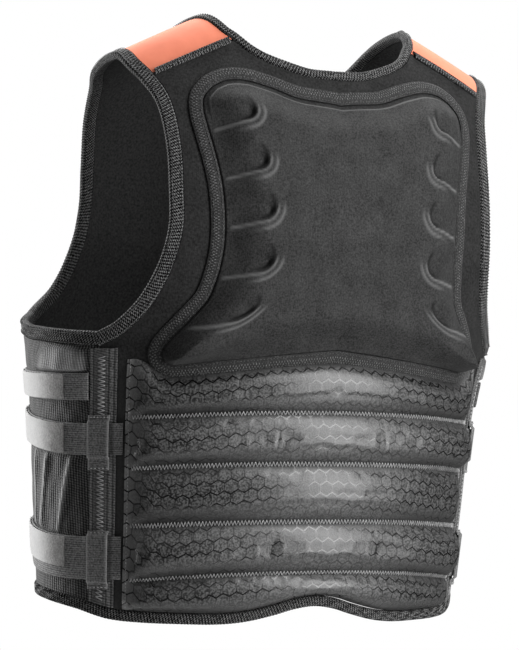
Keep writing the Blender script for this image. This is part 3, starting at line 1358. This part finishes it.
# %% [markdown]
# ## Stitching
# Rows of stitches show on the border, the quilting seams, the bindings and the strap loops. They are
# thread on the finished surfaces: a straight row is a line of even stitches with a small space after
# each, and on the quilting seams a zigzag steps from roll to roll.

# %% Stitch rows
STITCH_LENGTH, STITCH_SPACE = 1.8, 1.2
QUILTING_STITCHES = 230


def stitch_row(points, normals, closed=False):
    """Starts, ends and normals of even stitches along a line of points."""
    if closed:
        points, normals = np.concatenate([points, points[:1]]), np.concatenate([normals, normals[:1]])
    length = run_lengths(points[None], 1)[0]
    count = int(length[-1] / (STITCH_LENGTH + STITCH_SPACE))
    start = np.arange(count) * length[-1] / count
    columns = [[np.interp(start + shift, length, line[:, k]) for k in range(3)]
               for line, shift in [(points, 0), (points, STITCH_LENGTH), (normals, 0)]]
    return [np.stack(column, -1) for column in columns]


def joined(rows):
    """Several stitch rows as one."""
    return [np.concatenate(parts) for parts in zip(*rows)]


def border_rows():
    """Two rows on the pad's border."""
    rows = []
    for share in (0.16, 0.80):
        spots = border_spot(mix(BORDER_GAP, BORDER_WIDTH, share))
        line = on_torso(*spots.T, LAYER_GAP + border_crown(share) + 0.1)
        rows.append(stitch_row(line, torso_normal(*spots.T), closed=True))
    return joined(rows)


def along_row(row, at):
    """Points of a grid row at places counted in columns, between two columns too."""
    return np.stack([np.interp(at, np.arange(len(row)), row[:, k]) for k in range(3)], -1)


def quilting_rows():
    """A zigzag over each seam, from roll to roll and back, and a straight row up each sewn side margin."""
    normals = torso_normal(roll_angle, roll_z - CHEST_Z)
    at = np.linspace(4, ROLL_COLUMNS - 5, QUILTING_STITCHES)
    odd = np.arange(QUILTING_STITCHES)[:, None] % 2 == 1
    rows = []
    for seam in range(ROLL_ROWS, len(roll_outer) - ROLL_ROWS, ROLL_ROWS):
        points = np.where(odd, along_row(roll_outer[seam - 1], at), along_row(roll_outer[seam + 1], at))
        rows.append([points[:-1], points[1:], along_row(normals[seam], at)[:-1]])
    rows += [stitch_row(roll_outer[:, column], normals[:, column]) for column in (2, -3)]
    return joined(rows)


def binding_rows(track, toward, places):
    """Rows along a binding at distances from the panel edge."""
    points, normals, along = track
    away = unit(np.cross(normals, along)) * toward
    return joined([stitch_row(points + away * place + normals * (BINDING_OUTSIDE + 0.1), normals, True)
                   for place in places])


def bar_rows():
    """Two short bars across each loop, above and below its strap."""
    rows = []
    for strap, (above, below) in KEEPERS.items():
        top = strap_top(strap, TAPE_TO)
        bottom = top - strap_size(strap, "band_height")
        for z in (top + above - 1.6, bottom - below + 1.6):
            angle = np.linspace(KEEPER_ANGLES[0] + 0.3, KEEPER_ANGLES[1] - 0.3, 30)
            lift = LAYER_GAP + TAPE_THICKNESS + STRAP_GAP + KEEPER_THICKNESS + 0.1
            line = on_torso(angle, z - CHEST_Z, lift)
            rows.append(stitch_row(line, torso_normal(angle, z - CHEST_Z)))
    return joined(rows)


wear(thread("border_stitches", *border_rows(), 0.4, [dark_thread]), "pad_border")
wear(thread("quilting_stitches", *quilting_rows(), 0.38, [light_thread]), "honeycomb")
armhole_rows = binding_rows(armhole_track, 1, (2.2, 10.4))
wear(thread("neck_stitches", *binding_rows(neck_track, -1, (2.0, 6.8)), 0.4, [dark_thread]), "binding")
bars = bar_rows()
for side, flip in SIDES:
    arm_thread = thread(f"armhole_stitches_{side}", *map(flip, armhole_rows), 0.4, [dark_thread])
    wear(arm_thread, "binding")
    wear(thread(f"loop_stitches_{side}", *map(flip, bars), 0.55, [light_thread]), "webbing")
print("stitches round an armhole:", len(armhole_rows[0]))

# %% [markdown]
# ## Floor, light and camera
# The vest is held up at the shoulders over a plain pale floor. A tall strip light on one side draws the
# bright band down the satin cells, a softer light on the other side opens up the straps, and a large
# light above fills the rest. The camera looks from behind on the wearer's left, nearly level.

# %% Stage
FLOOR_Z, FLOOR_REACH = -2.2, 2.6


def make_floor():
    """Wide flat floor below the hem."""
    mesh = bpy.data.meshes.new("floor")
    corners = [(-1, -1), (1, -1), (1, 1), (-1, 1)]
    mesh.from_pydata([(x * FLOOR_REACH, y * FLOOR_REACH, FLOOR_Z) for x, y in corners], [], [(0, 1, 2, 3)])
    floor = bpy.data.objects.new("floor", mesh)
    pale = Finish("pale_floor", 0.9, 0.1)
    pale.feed(Base_Color=(0.6, 0.6, 0.6, 1.0))
    mesh.materials.append(pale.material)
    scene.collection.objects.link(floor)


def round_vest(azimuth, elevation, distance, target):
    """Place round a target: azimuth 0 is in front, 180 behind the wearer's back."""
    a, e = math.radians(azimuth), math.radians(elevation)
    away = np.array([math.sin(a) * math.cos(e), -math.cos(a) * math.cos(e), math.sin(e)])
    return np.asarray(target) + away * distance


def aim(holder, place, target):
    """Puts a light or camera at a place, looking at a target."""
    holder.location = place
    holder.rotation_euler = (Vector(target) - Vector(place)).to_track_quat("-Z", "Y").to_euler()
    scene.collection.objects.link(holder)


MIDDLE = (0.0, -0.072, -0.261)
# Lights: name, azimuth, elevation, distance, width, height, power.
LIGHTS = [
    ["strip", 211, 13, 2.2, 0.9, 4.0, 92],
    ["side", 34, 10, 2.0, 0.6, 1.6, 66],
    ["top", 330, 66, 2.2, 1.4, 1.4, 85],
]
make_floor()
for name, azimuth, elevation, distance, width, height, power in LIGHTS:
    lamp = bpy.data.lights.new(name, "AREA")
    lamp.shape = "RECTANGLE"
    lamp.size, lamp.size_y, lamp.energy = width, height, power
    aim(bpy.data.objects.new(name, lamp), round_vest(azimuth, elevation, distance, MIDDLE), MIDDLE)

# %% World and camera
AMBIENT_BELOW, AMBIENT_ABOVE = 0.02, 0.3
CAMERA_AZIMUTH, CAMERA_ELEVATION, CAMERA_DISTANCE = 150, -3.2, 3.0
CAMERA_LENS = 184.4


def make_world():
    """White to the eye, a soft sky as a light: the two backgrounds are told apart by the kind of ray, and
    the sky grows lighter with the height of its direction."""
    world = bpy.data.worlds.new("studio")
    world.use_nodes = True
    tree = world.node_tree
    soft, white = tree.nodes["Background"], tree.nodes.new("ShaderNodeBackground")
    soft.inputs["Color"].default_value = (1, 1, 1, 1)
    place, parts = tree.nodes.new("ShaderNodeTexCoord"), tree.nodes.new("ShaderNodeSeparateXYZ")
    sky = tree.nodes.new("ShaderNodeMapRange")
    for key, value in zip(range(1, 5), [-0.4, 0.7, AMBIENT_BELOW, AMBIENT_ABOVE]):
        sky.inputs[key].default_value = value
    tree.links.new(place.outputs["Generated"], parts.inputs[0])
    tree.links.new(parts.outputs["Z"], sky.inputs[0])
    tree.links.new(sky.outputs[0], soft.inputs["Strength"])
    white.inputs["Color"].default_value = (1, 1, 1, 1)
    path, either = tree.nodes.new("ShaderNodeLightPath"), tree.nodes.new("ShaderNodeMixShader")
    tree.links.new(path.outputs["Is Camera Ray"], either.inputs[0])
    tree.links.new(soft.outputs[0], either.inputs[1])
    tree.links.new(white.outputs[0], either.inputs[2])
    tree.links.new(either.outputs[0], tree.nodes["World Output"].inputs["Surface"])
    scene.world = world


make_world()
lens = bpy.data.cameras.new("camera")
lens.lens = CAMERA_LENS
camera = bpy.data.objects.new("camera", lens)
aim(camera, round_vest(CAMERA_AZIMUTH, CAMERA_ELEVATION, CAMERA_DISTANCE, MIDDLE), MIDDLE)
scene.camera = camera
scene.view_settings.view_transform = "Standard"
print("camera at", [round(v, 3) for v in camera.location])
